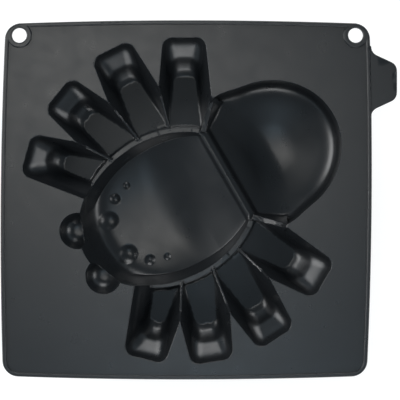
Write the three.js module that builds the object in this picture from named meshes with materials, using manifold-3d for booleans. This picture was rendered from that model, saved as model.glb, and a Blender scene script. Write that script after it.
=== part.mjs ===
// Spider cake mould: a soft black silicone sheet with a spider-shaped cavity sunk into it.
// Millimetres, +Z up. It stands on the flat crowns of its two body bowls, cavity open upward.
// The spider's axis u runs from its head to the tip of its abdomen, and v lies to the left of u.

import * as THREE from 'three';
import * as BufferGeometryUtils from 'three/addons/utils/BufferGeometryUtils.js';
import Module from 'manifold-3d';

// Sheet, rim, hanging eyelets and pull tab
const SHEET_WIDTH = 250;
const SHEET_LENGTH = 242;
const SHEET_CORNER = 11;
const SHEET_BOW = 2;
const SHEET_LEAN = 0.0077;
const SHEET_THICK = 2.5;
const RIM_WIDTH = 2.8;
const RIM_RISE = 1.6;
const RIM_DROP = 0.9;
const RIM_ROUND = 0.9;
const EYELET_RADIUS = 8.5;
const EYELET_HOLE = 5;
const EYELET_FROM_SIDE = 9.7;
const EYELET_FROM_TOP = 9.1;
const TAB_REACH = 17;
const TAB_TIP = 23;
const TAB_ROOT = 39;
const TAB_CENTRE = 79.6;
const TAB_THICK = 3;
const TAB_BELOW = 0.15;
const TAB_ROUND = 4.5;

// Spider, as it lies in the sheet
const SPIDER_TURN = THREE.MathUtils.degToRad(30);
const SPIDER_SHIFT = 1;
const WALL = 2.5;
const LIP = 2.8;

// Facets
const ROUND = 36;
const SMALL_ROUND = 20;
const EYE_ROUND = 12;
const ARC = 3;
const CURVE = 6;
const CLEAR = 6;
const BOWL_STEPS = 6;
const FANG_STEPS = 4;
const SHOULDER_ROUND = 16;
const SHOULDER_STEPS = 3;
const FAR = 200;
const ARC_HANDLE = 0.448;
const EPSILON = 1e-6;
const SILICONE = 0x2a2a2c;

// Bowls: centre along u, reach to the front, to the rear and to each side, depth, fullness of the
// wall and of its front, fall of the floor from the middle to the wall, and share that is quite flat
const BODY_DEPTH = 40;
const SAG_POWER = 2;
const THORAX = {
  centre: -12.1, front: 65.5, rear: 59.8, half: 48.4, depth: BODY_DEPTH,
  full: 12, nose: 1.7, sag: 0.2, flat: 0.25, sides: ROUND, steps: BOWL_STEPS,
};
const ABDOMEN = {
  centre: 64, front: 48, rear: 50.6, half: 46.5, depth: BODY_DEPTH,
  full: 12, nose: 12, sag: 0.22, flat: 0.2, sides: ROUND, steps: BOWL_STEPS,
};
const FANG = {
  centre: -73.9, front: 12, rear: 12, half: 12, depth: 15,
  full: 2.2, nose: 2.2, sag: 0, flat: 0.25, sides: SMALL_ROUND, steps: FANG_STEPS,
};
const FANG_SPREAD = 17.5;
const SHOULDER = {
  centre: 52, front: 20, rear: 20, half: 20, depth: 30,
  full: 6, nose: 6, sag: 0, flat: 0.25, sides: SHOULDER_ROUND, steps: SHOULDER_STEPS,
};
const SHOULDER_SPREAD = 29;
const SHOULDER_END = 45.7;
const EYES = [
  { name: 'large', u: -53.5, v: 13.3, radius: 5.7, sink: 1.65 },
  { name: 'middle', u: -42.6, v: 24.3, radius: 3.4, sink: 1.8 },
  { name: 'small', u: -31, v: 28.2, radius: 2.2, sink: 1.5 },
];
const EYE_LIP = 0.8;

// Ridges left standing in the cavity: the ring round the thorax and the waist behind it
const RING_DEPTH = 19.5;
const RING_WIDTH = 4;
const RING = {
  centre: THORAX.centre,
  front: THORAX.rear + RING_WIDTH,
  rear: THORAX.rear + RING_WIDTH,
  half: THORAX.half + RING_WIDTH,
  sides: ROUND,
};
const RING_DRAFT = Math.tan(THREE.MathUtils.degToRad(15));
const RING_FOOT = 40;
const WAIST = 33.3;
const WAIST_HALF = 2.5;
const WAIST_SPAN = 30;
const THORAX_SLOPE = THREE.MathUtils.degToRad(36);
const ABDOMEN_SLOPE = THREE.MathUtils.degToRad(40);

// Ridges between the legs, and beside the abdomen as radius from the centre and depth.
// A leg ridge falls quickly from where two legs meet: distance inward and depth.
const RIDGE_HALF = 0.7;
const RIDGE_DRAFT = 0.2;
const RIDGE_BAR = 15;
const RIDGE_ROOT = 50;
const RIDGE_FALL = [[0, 0], [6, 11], [15, 15]];
const ABDOMEN_BORDER = 45.3;
const ABDOMEN_RIDGE = [[71, 0], [68, 8], [63, 13], [54, 17.5], [45, RING_DEPTH]];
const FLANK_ROOT = 27;
const HEAD_END = 178;

// Legs: each pair leaves the centre at an angle from the axis and ends at its reach
const LEGS = [
  { name: 'rear', angle: 60.5, reach: 108.6 },
  { name: 'mid_rear', angle: 86.7, reach: 112.4 },
  { name: 'mid_front', angle: 110.6, reach: 111.4 },
  { name: 'front', angle: 134.5, reach: 111.5 },
];
const LEG_HALF = 14.9;
const LEG_GAUGE = 8;
const LEG_TAPER = Math.tan(THREE.MathUtils.degToRad(5.5));
const LEG_ROOT = 38;
const LEG_CORNER = 6;
const LEG_DEPTH = 28;
const LEG_RISE = 8;
const LEG_KNEE = 20;
const LEG_RUN = 44;

// Leg walls, from the sheet down to the floor: depth, draw-in of the sides, draw-in of the end,
// radius of the corners, and how much further a front leg draws in beside the head.
// The end runs steep, then as a sloped foot, then as a round second step to the floor.
const LEG_WALLS = [
  [0, 0, 0, LEG_CORNER, 0],
  [4.5, 0.9, 0.9, 6, 0.4],
  [7, 1.5, 2, 6, 0.6],
  [9.4, 2.1, 3.9, 6, 0.8],
  [12.4, 2.9, 7.4, 6.5, 2.1],
  [15.8, 3.8, 12, 7, 3],
  [16.8, 4.4, 12.9, 7.5, 3.2],
  [20.5, 5.6, 15.4, 7.5, 3.7],
  [22, 6, 16.8, 7.5, 4],
  [25, 6.8, 20.6, 7, 4],
  [27, 7.6, 23.4, 6, 4],
  [LEG_DEPTH, 9.2, 25.4, 4.5, 4],
];

// Levels
const TOP = BODY_DEPTH + WALL;
const UNDER = TOP - SHEET_THICK;
const MIDDLE = TOP - SHEET_THICK / 2;
const RIM_TOP = TOP + RIM_RISE;
const TAB_TOP = RIM_TOP - TAB_BELOW;
const SHEET_X = -TAB_REACH / 2;

const wasm = await Module();
wasm.setup();

// A closed solid from a geometry, for joining and cutting
function solid(geometry) {
  const bare = geometry.clone();
  bare.deleteAttribute('normal');
  bare.deleteAttribute('uv');
  const merged = BufferGeometryUtils.mergeVertices(bare, 1e-4);
  const corners = merged.index.array;
  const faces = [];
  for (let i = 0; i < corners.length; i += 3) {
    const [a, b, c] = corners.subarray(i, i + 3);
    if (a !== b && b !== c && c !== a) faces.push(a, b, c);
  }
  const mesh = new wasm.Mesh({
    numProp: 3,
    vertProperties: merged.attributes.position.array,
    triVerts: new Uint32Array(faces),
  });
  return new wasm.Manifold(mesh);
}

const join = (solids) => solids.reduce((all, next) => all.add(next));

// Placing: the spider's own frame, and a direction from its centre
const spiderMatrix = new THREE.Matrix4()
  .makeRotationZ(SPIDER_TURN)
  .premultiply(new THREE.Matrix4().makeTranslation(
    SHEET_X - SPIDER_SHIFT * Math.sin(SPIDER_TURN),
    SPIDER_SHIFT * Math.cos(SPIDER_TURN),
    0,
  ));
const inSpider = (geometry) => geometry.applyMatrix4(spiderMatrix);
const turned = (geometry, degrees) => geometry.rotateZ(THREE.MathUtils.degToRad(degrees));

// An upright prism over an outline, between two levels
function prism(shape, bottom, top) {
  const geometry = new THREE.ExtrudeGeometry(shape, {
    depth: top - bottom,
    bevelEnabled: false,
    curveSegments: CURVE,
  });
  return geometry.translate(0, 0, bottom);
}

const region = (shape) => solid(inSpider(prism(shape, -CLEAR, RIM_TOP + CLEAR)));

// Outline of the sheet, drawn in by an inset: bowed sides and round corners, a little out of square
function sheetOutline(inset) {
  const halfX = SHEET_WIDTH / 2 - SHEET_BOW - inset;
  const halfY = SHEET_LENGTH / 2 - SHEET_BOW - inset;
  const corner = SHEET_CORNER - inset;
  const handle = corner * ARC_HANDLE;
  const at = (x, y) => [SHEET_X + x + SHEET_LEAN * y, y];
  const shape = new THREE.Shape();
  shape.moveTo(...at(corner - halfX, -halfY));
  shape.quadraticCurveTo(...at(0, -halfY - 2 * SHEET_BOW), ...at(halfX - corner, -halfY));
  shape.bezierCurveTo(
    ...at(halfX - handle, -halfY), ...at(halfX, handle - halfY), ...at(halfX, corner - halfY));
  shape.quadraticCurveTo(...at(halfX + 2 * SHEET_BOW, 0), ...at(halfX, halfY - corner));
  shape.bezierCurveTo(
    ...at(halfX, halfY - handle), ...at(halfX - handle, halfY), ...at(halfX - corner, halfY));
  shape.quadraticCurveTo(...at(0, halfY + 2 * SHEET_BOW), ...at(corner - halfX, halfY));
  shape.bezierCurveTo(
    ...at(handle - halfX, halfY), ...at(-halfX, halfY - handle), ...at(-halfX, halfY - corner));
  shape.quadraticCurveTo(...at(-halfX - 2 * SHEET_BOW, 0), ...at(-halfX, corner - halfY));
  shape.bezierCurveTo(
    ...at(-halfX, handle - halfY), ...at(handle - halfX, -halfY), ...at(corner - halfX, -halfY));
  return shape;
}

// Stretch a round form of radius 1 to its own reach in front, behind and to the sides
function stretch(geometry, form, grow) {
  const place = geometry.attributes.position;
  for (let i = 0; i < place.count; i += 1) {
    const reach = place.getX(i) > 0 ? form.rear : form.front;
    place.setX(i, form.centre + place.getX(i) * (reach + grow));
    place.setY(i, place.getY(i) * (form.half + grow));
  }
  return geometry;
}

// Depth of a bowl at a share of its radius: a full wall that is slacker in front, and a floor that
// falls away from a flat crown; forward is the share of the radius that lies straight ahead
function bowlDepth(form, share, forward) {
  const ahead = Math.max(forward, 0) ** 2;
  const full = form.full ** (1 - ahead) * form.nose ** ahead;
  const crown = (1 + form.sag * form.flat ** SAG_POWER) / (1 - form.flat ** form.full) ** (1 / form.full);
  const wall = crown * Math.max(1 - share ** full, 0) ** (1 / full);
  return form.depth * Math.min(1, wall - form.sag * (1 - ahead) * share ** SAG_POWER);
}

// A bowl turned from its crown up to a level above or inside the sheet
function bowl(form, grow, top) {
  const scale = (form.depth + grow) / form.depth;
  const profile = [new THREE.Vector2(0, 0)];
  for (let i = 0; i <= form.steps; i += 1) {
    const left = 1 - i / form.steps;
    profile.push(new THREE.Vector2(form.flat + (1 - form.flat) * (1 - left ** 2), 0));
  }
  profile.push(new THREE.Vector2(0, FAR));
  const geometry = new THREE.LatheGeometry(profile, form.sides).rotateX(Math.PI / 2);
  const place = geometry.attributes.position;
  for (let i = 0; i < place.count; i += 1) {
    const share = Math.hypot(place.getX(i), place.getY(i));
    const lid = share > 1 - EPSILON || place.getZ(i) > FAR / 2;
    place.setZ(i, lid ? top : TOP - scale * bowlDepth(form, share, -place.getX(i)));
  }
  return stretch(geometry, form, grow);
}

// Half of space above a slope that climbs to the waist along u (side 1) or against it (side -1)
function aboveWaist(side, grow) {
  const box = new THREE.BoxGeometry(2 * FAR, 2 * FAR, 2 * FAR).translate(0, 0, FAR - grow);
  box.rotateY(side > 0 ? -THORAX_SLOPE : ABDOMEN_SLOPE);
  return box.translate(WAIST - side * WAIST_HALF, 0, TOP - RING_DEPTH);
}

const bodyBowl = (form, side, grow, top) =>
  solid(inSpider(bowl(form, grow, top))).intersect(solid(inSpider(aboveWaist(side, grow))));

// The level top of the waist, between the two slopes
function waistBar(grow, top) {
  const bottom = TOP - RING_DEPTH - grow;
  const bar = new THREE.BoxGeometry(2 * WAIST_HALF, 2 * (WAIST_SPAN + grow), top - bottom);
  return solid(inSpider(bar.translate(WAIST, 0, (top + bottom) / 2)));
}

const fangBowl = (side, grow, top) =>
  solid(inSpider(bowl(FANG, grow, top).translate(0, side * FANG_SPREAD, 0)));

// A shoulder of the abdomen, which fills the corner up to the ridge beside the rear leg
function shoulder(side, grow, top) {
  const corner = solid(inSpider(bowl(SHOULDER, grow, top).translate(0, side * SHOULDER_SPREAD, 0)));
  const [from, to] = side > 0 ? [0, SHOULDER_END] : [-SHOULDER_END, 0];
  return corner
    .intersect(solid(inSpider(aboveWaist(-1, grow))))
    .intersect(region(wedgeOutline(from, to)));
}

// An eye: a ball sunk into the thorax floor along the floor's own slope
function eyeBall(eye, side, grow) {
  const floor = (u, v) => {
    const forward = (THORAX.centre - u) / THORAX.front;
    return TOP - bowlDepth(THORAX, Math.hypot(forward, v / THORAX.half), forward);
  };
  const v = side * eye.v;
  const slope = new THREE.Vector3(
    floor(eye.u - 0.5, v) - floor(eye.u + 0.5, v),
    floor(eye.u, v - 0.5) - floor(eye.u, v + 0.5),
    1,
  ).normalize();
  const radius = (eye.radius ** 2 + eye.sink ** 2) / (2 * eye.sink);
  const centre = new THREE.Vector3(eye.u, v, floor(eye.u, v)).addScaledVector(slope, radius - eye.sink);
  const ball = new THREE.SphereGeometry(radius + grow, EYE_ROUND, EYE_ROUND / 2);
  return solid(inSpider(ball.translate(centre.x, centre.y, centre.z)));
}

// Outline of a leg at one level of its walls: sides that close in outward and an end with round
// corners; the floor climbs from the knee towards the ring
function legRing(leg, side, wall, grow, top) {
  const [depth, sideIn, endIn, round, headIn] = wall;
  const corner = round + grow;
  const arcAt = leg.reach + grow - endIn - corner;
  const halfAt = (s, flank) => {
    const beside = leg.name === 'front' && flank === side ? headIn : 0;
    return LEG_HALF + (leg.reach - LEG_GAUGE - s) * LEG_TAPER - sideIn - beside + grow;
  };
  const at = (s, across) => {
    const climb = Math.max(leg.reach - LEG_KNEE - s, 0) / LEG_RUN;
    const rise = 1 - (LEG_RISE / LEG_DEPTH) * climb;
    const sunk = TOP - (depth * rise * (LEG_DEPTH + grow)) / LEG_DEPTH;
    return new THREE.Vector3(s, across, depth > 0 ? sunk : top);
  };
  const ring = [at(LEG_ROOT, -halfAt(LEG_ROOT, -1))];
  for (const flank of [-1, 1]) {
    for (let i = 0; i <= ARC; i += 1) {
      const turn = (Math.PI / 2) * (flank < 0 ? i / ARC - 1 : i / ARC);
      const across = flank * (halfAt(arcAt, flank) - corner);
      ring.push(at(arcAt + corner * Math.cos(turn), across + corner * Math.sin(turn)));
    }
  }
  ring.push(at(LEG_ROOT, halfAt(LEG_ROOT, 1)));
  return ring;
}

// Skin over a stack of rings with equal counts, closed at both ends
function loft(rings) {
  const count = rings[0].length;
  const last = (rings.length - 1) * count;
  const faces = [];
  for (let k = 0; k < last; k += count) {
    for (let i = 0; i < count; i += 1) {
      const a = k + i;
      const b = k + (i + 1) % count;
      faces.push(a, a + count, b, b, a + count, b + count);
    }
  }
  for (let i = 1; i + 1 < count; i += 1) {
    faces.push(0, i, i + 1, last, last + i + 1, last + i);
  }
  return new THREE.BufferGeometry().setFromPoints(rings.flat()).setIndex(faces);
}

// A leg's trough, from a level above or inside the sheet down to its floor; its outside is plainer
function trough(leg, side, grow, top) {
  const walls = grow > 0 ? LEG_WALLS.filter((wall, i) => i % 2 === 0 || wall[0] === LEG_DEPTH) : LEG_WALLS;
  const rings = walls.map((wall) => legRing(leg, side, wall, grow, top));
  return solid(inSpider(turned(loft(rings), side * leg.angle)));
}

// Foot of the ring: an oval collar that stops each trough short of the thorax
function collar(grow) {
  const flare = 1 + (RING_FOOT * RING_DRAFT) / RING.half;
  const cone = new THREE.CylinderGeometry(1, flare, RING_FOOT, ROUND).rotateX(Math.PI / 2);
  cone.translate(0, 0, TOP - RING_DEPTH - grow - RING_FOOT / 2);
  return stretch(cone, RING, -grow);
}

// Ridges between neighbours, as side profiles out from the spider's centre: radius and depth
function legRidge(near, far) {
  const half = THREE.MathUtils.degToRad((far.angle - near.angle) / 2);
  const open = LEG_HALF + ((near.reach + far.reach) / 2 - LEG_GAUGE) * LEG_TAPER;
  const meet = open / (Math.sin(half) + LEG_TAPER * Math.cos(half));
  const fall = RIDGE_FALL.map(([inward, depth]) => [meet - inward, depth]);
  return { angle: (near.angle + far.angle) / 2, profile: [...fall, [RIDGE_ROOT, RING_DEPTH]] };
}
const borders = [
  { angle: ABDOMEN_BORDER, profile: ABDOMEN_RIDGE },
  ...LEGS.slice(1).map((leg, i) => legRidge(LEGS[i], leg)),
];

// Relief that lowers a ridge to its profile
function relief(border, side) {
  const shape = new THREE.Shape();
  shape.moveTo(border.profile[0][0], TOP + CLEAR);
  for (const [radius, depth] of border.profile) shape.lineTo(radius, TOP - depth);
  shape.lineTo(border.profile[border.profile.length - 1][0], TOP + CLEAR);
  const bar = new THREE.ExtrudeGeometry(shape, { depth: RIDGE_BAR, bevelEnabled: false });
  bar.rotateX(Math.PI / 2).translate(0, RIDGE_BAR / 2, 0);
  return solid(inSpider(turned(bar, side * border.angle)));
}

// Fin that a ridge keeps standing between two troughs, from its crest down past their floors
function fin(border, side) {
  const foot = LEG_DEPTH + CLEAR;
  const rings = border.profile.map(([radius, depth]) => {
    const thick = RIDGE_HALF + (foot - depth) * RIDGE_DRAFT;
    return [[-thick, foot], [thick, foot], [RIDGE_HALF, depth], [-RIDGE_HALF, depth]]
      .map(([across, down]) => new THREE.Vector3(radius, across, TOP - down));
  });
  return solid(inSpider(turned(loft(rings), side * border.angle)));
}

// Outlines that part the moulding into its regions
function ovalOutline(form, grow, across = 0) {
  const shape = new THREE.Shape();
  for (let i = 0; i < form.sides; i += 1) {
    const turn = (2 * Math.PI * i) / form.sides;
    const reach = Math.cos(turn) > 0 ? form.rear : form.front;
    const u = form.centre + (reach + grow) * Math.cos(turn);
    const v = across + (form.half + grow) * Math.sin(turn);
    if (i === 0) shape.moveTo(u, v);
    else shape.lineTo(u, v);
  }
  return shape;
}

function wedgeOutline(from, to) {
  const shape = new THREE.Shape();
  shape.moveTo(0, 0);
  for (const degrees of [from, to]) {
    const turn = THREE.MathUtils.degToRad(degrees);
    shape.lineTo(FAR * Math.cos(turn), FAR * Math.sin(turn));
  }
  return shape;
}

const SIDES = [['left', 1], ['right', -1]];
const eachLeg = SIDES.flatMap(([sideName, side]) =>
  LEGS.map((leg, i) => ({ name: `leg_pocket_${sideName}_${leg.name}`, leg, side, i })));
const eachEye = SIDES.flatMap(([sideName, side]) =>
  EYES.map((eye) => ({ name: `eye_cup_${sideName}_${eye.name}`, eye, side })));

// The cavity that the cake fills
const over = TOP + CLEAR;
const ringFoot = solid(inSpider(collar(0)));
const fins = join(SIDES.flatMap(([, side]) => borders.map((border) => fin(border, side))));
const troughs = join([
  ...eachLeg.map(({ leg, side }) => trough(leg, side, 0, over)),
  ...SIDES.map(([, side]) => shoulder(side, 0, over)),
]).subtract(ringFoot).subtract(fins);
const reliefs = join(SIDES.flatMap(([, side]) => borders.map((border) => relief(border, side))));
const cavity = join([
  bodyBowl(THORAX, 1, 0, over),
  bodyBowl(ABDOMEN, -1, 0, over),
  waistBar(0, over),
  ...SIDES.map(([, side]) => fangBowl(side, 0, over)),
  ...eachEye.map(({ eye, side }) => eyeBall(eye, side, 0)),
  troughs,
  reliefs.subtract(ringFoot),
]);

// The outside of the pockets, one wall away from the cavity
const ringHollow = solid(inSpider(collar(WALL)));
const outside = join([
  bodyBowl(THORAX, 1, WALL, MIDDLE),
  bodyBowl(ABDOMEN, -1, WALL, MIDDLE),
  waistBar(WALL, MIDDLE),
  ...SIDES.map(([, side]) => fangBowl(side, WALL, MIDDLE)),
  ...eachEye.map(({ eye, side }) => eyeBall(eye, side, WALL)),
  join([
    ...eachLeg.map(({ leg, side }) => trough(leg, side, WALL, MIDDLE)),
    ...SIDES.map(([, side]) => shoulder(side, WALL, MIDDLE)),
  ]).subtract(ringHollow),
]);

// Sheet with the pockets hanging from it, still whole
const sheet = solid(prism(sheetOutline(RIM_WIDTH), UNDER, TOP));
let whole = sheet.add(outside).subtract(cavity);

// Take the piece inside an outline away from what is left of the moulding
function take(outline) {
  const piece = whole.intersect(outline);
  whole = whole.subtract(outline);
  return piece;
}

function mesh(name, shape) {
  const cut = shape.getMesh();
  const geometry = new THREE.BufferGeometry();
  geometry.setAttribute('position', new THREE.BufferAttribute(cut.vertProperties, 3));
  geometry.setIndex(new THREE.BufferAttribute(cut.triVerts, 1));
  geometry.computeVertexNormals();
  const silicone = new THREE.MeshStandardMaterial({ color: SILICONE, roughness: 0.55, metalness: 0 });
  const piece = new THREE.Mesh(geometry, silicone);
  piece.name = name;
  return piece;
}

const group = new THREE.Group();
group.name = 'spider_cake_mould';

// Eye cups and fang pockets
for (const { name, eye, side } of eachEye) {
  const cup = { centre: eye.u, front: 0, rear: 0, half: 0, sides: EYE_ROUND };
  group.add(mesh(name, take(region(ovalOutline(cup, eye.radius + EYE_LIP, side * eye.v)))));
}
for (const [sideName, side] of SIDES) {
  const outline = ovalOutline(FANG, LIP, side * FANG_SPREAD);
  group.add(mesh(`fang_pocket_${sideName}`, take(region(outline))));
}

// Thorax inside its ring, the legs round it, the abdomen, and the front of the head
const beforeWaist = new THREE.BoxGeometry(2 * FAR, 2 * FAR, 2 * FAR).translate(WAIST - FAR, 0, 0);
const insideRing = take(
  region(ovalOutline(RING, WALL)).intersect(solid(inSpider(beforeWaist))));
for (const { name, leg, side, i } of eachLeg) {
  const turn = side * THREE.MathUtils.degToRad(leg.angle);
  const ring = legRing(leg, side, LEG_WALLS[0], LIP, TOP)
    .map((p) => new THREE.Vector2(p.x, p.y).rotateAround(new THREE.Vector2(), turn));
  const from = side * borders[Math.max(i - 1, 0)].angle;
  const to = side * (i + 1 < borders.length ? borders[i + 1].angle : HEAD_END);
  const wedge = side > 0 ? wedgeOutline(from, to) : wedgeOutline(to, from);
  group.add(mesh(name, take(region(new THREE.Shape(ring)).intersect(region(wedge)))));
}
const abdomenFlanks = SIDES.map(([, side]) => {
  const [near, far] = [FLANK_ROOT, ABDOMEN_RIDGE[0][0] + 2 * LIP];
  const bar = new THREE.BoxGeometry(far - near, RIDGE_BAR, 4 * TOP).translate((near + far) / 2, 0, 0);
  return solid(inSpider(turned(bar, side * ABDOMEN_BORDER)));
});
const shoulders = SIDES.map(([, side]) => region(ovalOutline(SHOULDER, LIP, side * SHOULDER_SPREAD)));
const abdomenRegion = join([region(ovalOutline(ABDOMEN, LIP)), ...shoulders, ...abdomenFlanks]);
group.add(mesh('abdomen_pocket', take(abdomenRegion)));
group.add(mesh('thorax_pocket', insideRing.add(take(region(ovalOutline(THORAX, LIP))))));

// Hanging eyelets, level with the rim in the two top corners
const sheetPrism = solid(prism(sheetOutline(RIM_WIDTH), -CLEAR, over));
for (const [sideName, sideX] of [['left', -1], ['right', 1]]) {
  const y = SHEET_LENGTH / 2 - SHEET_BOW / 2 - EYELET_FROM_TOP;
  const x = SHEET_X + sideX * (SHEET_WIDTH / 2 - SHEET_BOW - EYELET_FROM_SIDE) + SHEET_LEAN * y;
  const disc = (radius, bottom, top) => {
    const shape = new THREE.Shape();
    shape.absarc(x, y, radius, 0, 2 * Math.PI);
    return solid(prism(shape, bottom, top));
  };
  const boss = disc(EYELET_RADIUS, UNDER - RIM_DROP, RIM_TOP).intersect(sheetPrism);
  whole = whole.subtract(disc(EYELET_RADIUS, -CLEAR, over));
  group.add(mesh(`hanging_eyelet_${sideName}`, boss.subtract(disc(EYELET_HOLE, -CLEAR, over))));
}

// What is left is the flat sheet
group.add(mesh('flange_sheet', whole));

// Rim bead round the edge
const rimShape = sheetOutline(0);
rimShape.holes.push(sheetOutline(RIM_WIDTH));
const rim = new THREE.ExtrudeGeometry(rimShape, {
  depth: RIM_RISE + SHEET_THICK + RIM_DROP - 2 * RIM_ROUND,
  bevelEnabled: true,
  bevelThickness: RIM_ROUND,
  bevelSize: RIM_ROUND,
  bevelOffset: -RIM_ROUND,
  bevelSegments: 2,
  curveSegments: CURVE,
}).translate(0, 0, UNDER - RIM_DROP + RIM_ROUND);
group.add(mesh('rim_bead', solid(rim)));

// Pull tab at the right edge: a tongue with a round tip and a flared root
const tabShape = new THREE.Shape();
const edge = SHEET_X + SHEET_WIDTH / 2 + SHEET_LEAN * TAB_CENTRE - SHEET_BOW / 2;
const tip = SHEET_X + SHEET_WIDTH / 2 + TAB_REACH;
const tipHalf = TAB_TIP / 2;
const rootHalf = TAB_ROOT / 2;
const flank = new THREE.Vector2(tip - edge, tipHalf - rootHalf).setLength(TAB_ROUND);
tabShape.moveTo(edge - CLEAR, -rootHalf - TAB_ROUND);
tabShape.lineTo(edge, -rootHalf - TAB_ROUND);
tabShape.quadraticCurveTo(edge, -rootHalf, edge + flank.x, -rootHalf - flank.y);
tabShape.lineTo(tip - flank.x, -tipHalf + flank.y);
tabShape.quadraticCurveTo(tip, -tipHalf, tip, -tipHalf + TAB_ROUND);
tabShape.lineTo(tip, tipHalf - TAB_ROUND);
tabShape.quadraticCurveTo(tip, tipHalf, tip - flank.x, tipHalf - flank.y);
tabShape.lineTo(edge + flank.x, rootHalf + flank.y);
tabShape.quadraticCurveTo(edge, rootHalf, edge, rootHalf + TAB_ROUND);
tabShape.lineTo(edge - CLEAR, rootHalf + TAB_ROUND);
const tab = prism(tabShape, TAB_TOP - TAB_THICK, TAB_TOP).translate(0, TAB_CENTRE, 0);
const outerPrism = solid(prism(sheetOutline(0), -CLEAR, over));
group.add(mesh('pull_tab', solid(tab).subtract(outerPrism)));

export default group;
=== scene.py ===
"""Spider cake mould in soft black silicone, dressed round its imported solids.

The mould is one thin sheet: an upper skin that the cake touches and an under skin one wall away.
Both are height fields over the plan, worked out from the same few dimensions as the solids.
The plan is triangulated once, each triangle goes to the region it lies in, and each region becomes a
closed piece between the two skins. Lengths are millimetres until a mesh is made, which is in metres.
"""
import math
from collections import namedtuple
from functools import partial

import bpy
import numpy as np
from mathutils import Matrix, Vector
from mathutils.geometry import delaunay_2d_cdt


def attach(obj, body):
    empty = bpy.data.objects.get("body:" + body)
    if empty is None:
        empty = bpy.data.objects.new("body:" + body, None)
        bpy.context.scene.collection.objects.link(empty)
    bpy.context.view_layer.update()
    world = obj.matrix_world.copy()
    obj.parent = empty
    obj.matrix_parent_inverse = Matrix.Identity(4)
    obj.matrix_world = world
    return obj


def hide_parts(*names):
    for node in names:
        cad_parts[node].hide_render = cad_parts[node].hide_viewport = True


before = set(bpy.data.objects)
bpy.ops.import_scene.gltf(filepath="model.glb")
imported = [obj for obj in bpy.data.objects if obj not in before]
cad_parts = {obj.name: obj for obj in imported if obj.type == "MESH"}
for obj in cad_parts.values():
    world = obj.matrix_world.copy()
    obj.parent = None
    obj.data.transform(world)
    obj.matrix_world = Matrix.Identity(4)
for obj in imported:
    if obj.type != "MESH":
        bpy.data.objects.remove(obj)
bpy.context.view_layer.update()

METRE = 0.001
TINY = 1e-6

# Sheet, rim, hanging eyelets and pull tab
SHEET_WIDTH = 250
SHEET_LENGTH = 242
SHEET_CORNER = 11
SHEET_BOW = 2
SHEET_LEAN = 0.0077
SHEET_THICK = 2.5
RIM_WIDTH = 2.8
RIM_RISE = 1.6
RIM_DROP = 0.9
RIM_ROUND = 0.9
EYELET_SIDES = (-1, 1)
EYELET_RADIUS = 8.5
EYELET_HOLE = 5
EYELET_FROM_SIDE = 9.7
EYELET_FROM_TOP = 9.1
TAB_REACH = 17
TAB_TIP = 23
TAB_ROOT = 39
TAB_CENTRE = 79.6
TAB_THICK = 3
TAB_ROUND = 4.5
TAB_EDGE = 0.7
TAB_INSIDE = 6
TAB_BELOW_RIM = 0.15

# Spider, as it lies in the sheet: u runs from its head to its tail, v to its left
SPIDER_TURN = math.radians(30)
SPIDER_SHIFT = 1
SIDES = {"left": 1, "right": -1}
WALL = 2.5
LEAST_WALL = 1.9
LIP = 2.8

# Bowls: an oval in plan, the fullness of the wall behind and at the nose, and the sag of the floor
Oval = namedtuple("Oval", "u v front rear half")
Bowl = namedtuple("Bowl", "u v front rear half depth full nose sag flat power low", defaults=(2, 0))
BODY_DEPTH = 40
CROWN_ROUND = 0.06
DOME_REACH = 1.3
THORAX = Bowl(u=-12.1, v=0, front=65.5, rear=59.8, half=48.4, depth=BODY_DEPTH,
              full=20, nose=1.7, sag=0.2, flat=0.25)
ABDOMEN = Bowl(u=64, v=0, front=48, rear=50.6, half=46.5, depth=BODY_DEPTH,
               full=12, nose=12, sag=0.28, flat=0.2, power=1.15, low=3)
FANG = Bowl(u=-73.9, v=0, front=12, rear=12, half=12, depth=15, full=2.2, nose=2.2, sag=0, flat=0.12)
FANG_SPREAD = 17.5
FANGS = {name: FANG._replace(v=side * FANG_SPREAD) for name, side in SIDES.items()}
SHOULDER_FROM = 52
SHOULDER_RADIUS = 20
SHOULDER_SPREAD = 29
SHOULDER_END = 45.7
SHOULDER_FILLET = 6
SHOULDERS = {side: Oval(SHOULDER_FROM, side * SHOULDER_SPREAD, *[SHOULDER_RADIUS] * 3)
             for side in SIDES.values()}
Eye = namedtuple("Eye", "name u v radius sink")
EYES = [Eye("large", -53.5, 13.3, 5.7, 1.65), Eye("middle", -42.6, 24.3, 3.4, 1.2),
        Eye("small", -31, 28.2, 2.2, 0.8)]
EYE_LIP = 0.8
EYE_STEP = 0.5

# Ridges left standing in the cavity; the waist has a thorax side (1) and an abdomen side (-1)
RING_DEPTH = 19.5
RING_WIDTH = 4
RING_DRAFT = math.tan(math.radians(15))
RING = Oval(THORAX.u, THORAX.v, THORAX.rear + RING_WIDTH, THORAX.rear + RING_WIDTH, THORAX.half + RING_WIDTH)
WALL_FALL = math.tan(math.radians(69))
WAIST = 33.3
WAIST_FOOT = {1: 21.5, -1: 23}
WAIST_SLOPE = {1: math.tan(math.radians(28)), -1: math.tan(math.radians(30.5))}
WAIST_DISH = 0.0018
WAIST_REACH = 30
RIB_HEIGHT = 2
RIB_HALF = 3.9
RIB_POWER = 4
Border = namedtuple("Border", "angle profile half")
RIDGE_HALF = 0.7
RIDGE_DRAFT = 0.2
RIDGE_BAR = 15
RIDGE_ROOT = 50
RIDGE_FALL = [(6, 11), (15, 15)]
ABDOMEN_BORDER = 45.3
ABDOMEN_HALF = 1.6
ABDOMEN_RIDGE = [(71, 0), (68, 8), (63, 13), (54, 17.5), (45, RING_DEPTH)]
FLANK_ROOT = 27
FLANK_END = ABDOMEN_RIDGE[0][0] + 2 * LIP
HEAD_END = 178

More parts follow.
